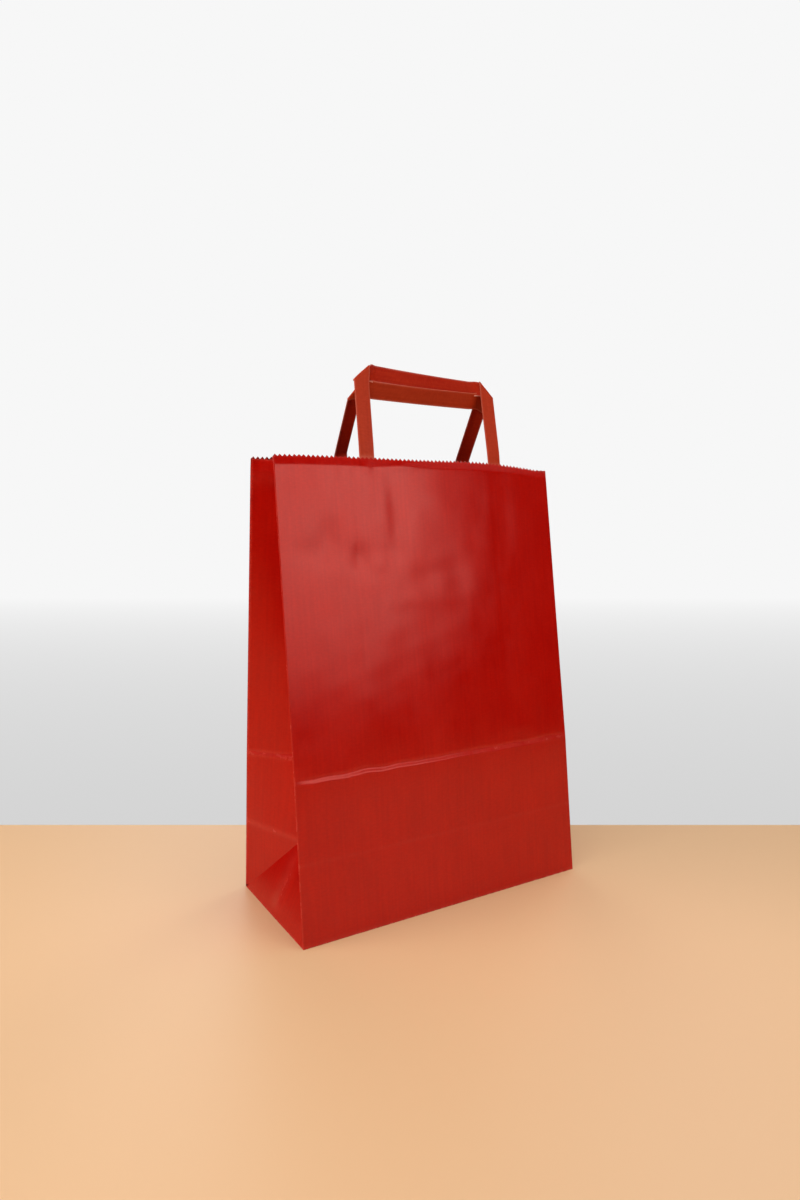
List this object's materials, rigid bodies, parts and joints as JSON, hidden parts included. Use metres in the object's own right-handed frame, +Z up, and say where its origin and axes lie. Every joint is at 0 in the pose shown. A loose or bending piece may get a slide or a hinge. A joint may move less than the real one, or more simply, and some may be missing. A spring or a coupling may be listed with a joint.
{
  "type": "gift bag",
  "caption": "Upright paper gift bag with inward-folded side gussets, a block bottom, a pinked rim and flat folded-tape handles; the mouth opens and the handles fold out.",
  "frame": {"origin": "middle of the base, on the surface the bag stands on", "axes": "+X to the right across the front, the front faces -Y, +Z up towards the mouth"},
  "size_m": [0.22, 0.1, 0.3625],
  "materials": {
    "bag_paper": "satin ribbed coloured kraft paper",
    "handle_paper": "satin folded paper tape",
    "patch_paper": "satin coloured kraft paper"
  },
  "bodies": {
    "base": {"bottom_front_flap": "bag_paper", "bottom_back_flap": "bag_paper", "left_bottom_tuck": "bag_paper", "right_bottom_tuck": "bag_paper"},
    "front_wall": {"front_panel": "bag_paper", "front_handle_tails": "handle_paper", "front_handle_patch": "patch_paper"},
    "back_wall": {"back_panel": "bag_paper", "side_seam": "bag_paper", "back_handle_tails": "handle_paper", "back_handle_patch": "patch_paper"},
    "left_gusset_front": {"left_gusset_front_half": "bag_paper"},
    "left_gusset_back": {"left_gusset_back_half": "bag_paper"},
    "right_gusset_front": {"right_gusset_front_half": "bag_paper"},
    "right_gusset_back": {"right_gusset_back_half": "bag_paper"},
    "left_triangle": {"left_base_triangle": "bag_paper"},
    "right_triangle": {"right_base_triangle": "bag_paper"},
    "front_handle_loop": {"front_handle": "handle_paper"},
    "back_handle_loop": {"back_handle": "handle_paper"}
  },
  "joints": [
    {"name": "mouth_open", "type": "hinge", "parent": "base", "child": "front_wall", "pos_m": [0, -0.05, 0], "axis": [1, 0, 0], "range_deg": [0, 5.7]},
    {"name": "back_wall_crease", "type": "hinge", "parent": "base", "child": "back_wall", "pos_m": [0, 0.05, 0], "axis": [1, 0, 0], "range_deg": [-3.55, 0]},
    {"name": "left_gusset_front_crease", "type": "hinge", "parent": "front_wall", "child": "left_gusset_front", "pos_m": [-0.11, -0.05, 0], "axis": [0, 0.124, 0.9923], "range_deg": [0, 37.01]},
    {"name": "left_gusset_back_crease", "type": "hinge", "parent": "back_wall", "child": "left_gusset_back", "pos_m": [-0.11, 0.05, 0], "axis": [0, -0.0773, 0.997], "range_deg": [-37.01, 0]},
    {"name": "left_triangle_crease", "type": "hinge", "parent": "base", "child": "left_triangle", "pos_m": [-0.11, 0, 0], "axis": [0, 1, 0], "range_deg": [-12.44, 0]},
    {"name": "right_gusset_front_crease", "type": "hinge", "parent": "front_wall", "child": "right_gusset_front", "pos_m": [0.11, -0.05, 0], "axis": [0, 0.124, 0.9923], "range_deg": [-37.01, 0]},
    {"name": "right_gusset_back_crease", "type": "hinge", "parent": "back_wall", "child": "right_gusset_back", "pos_m": [0.11, 0.05, 0], "axis": [0, -0.0773, 0.997], "range_deg": [0, 37.01]},
    {"name": "right_triangle_crease", "type": "hinge", "parent": "base", "child": "right_triangle", "pos_m": [0.11, 0, 0], "axis": [0, 1, 0], "range_deg": [0, 12.44]},
    {"name": "front_handle_fold", "type": "hinge", "parent": "front_wall", "child": "front_handle_loop", "pos_m": [0, -0.01183, 0.30059], "axis": [1, 0, 0], "range_deg": [0, 151]},
    {"name": "back_handle_fold", "type": "hinge", "parent": "back_wall", "child": "back_handle_loop", "pos_m": [0, 0.02597, 0.30205], "axis": [1, 0, 0], "range_deg": [-174, 0]}
  ],
  "couplings": [
    {"joint": "back_wall_crease", "follows": "mouth_open", "ratio": -0.62244},
    {"joint": "left_gusset_front_crease", "follows": "mouth_open", "ratio": 6.489},
    {"joint": "left_gusset_back_crease", "follows": "mouth_open", "ratio": -6.489},
    {"joint": "left_triangle_crease", "follows": "mouth_open", "ratio": -2.1804},
    {"joint": "right_gusset_front_crease", "follows": "mouth_open", "ratio": -6.489},
    {"joint": "right_gusset_back_crease", "follows": "mouth_open", "ratio": 6.489},
    {"joint": "right_triangle_crease", "follows": "mouth_open", "ratio": 2.1804}
  ]
}
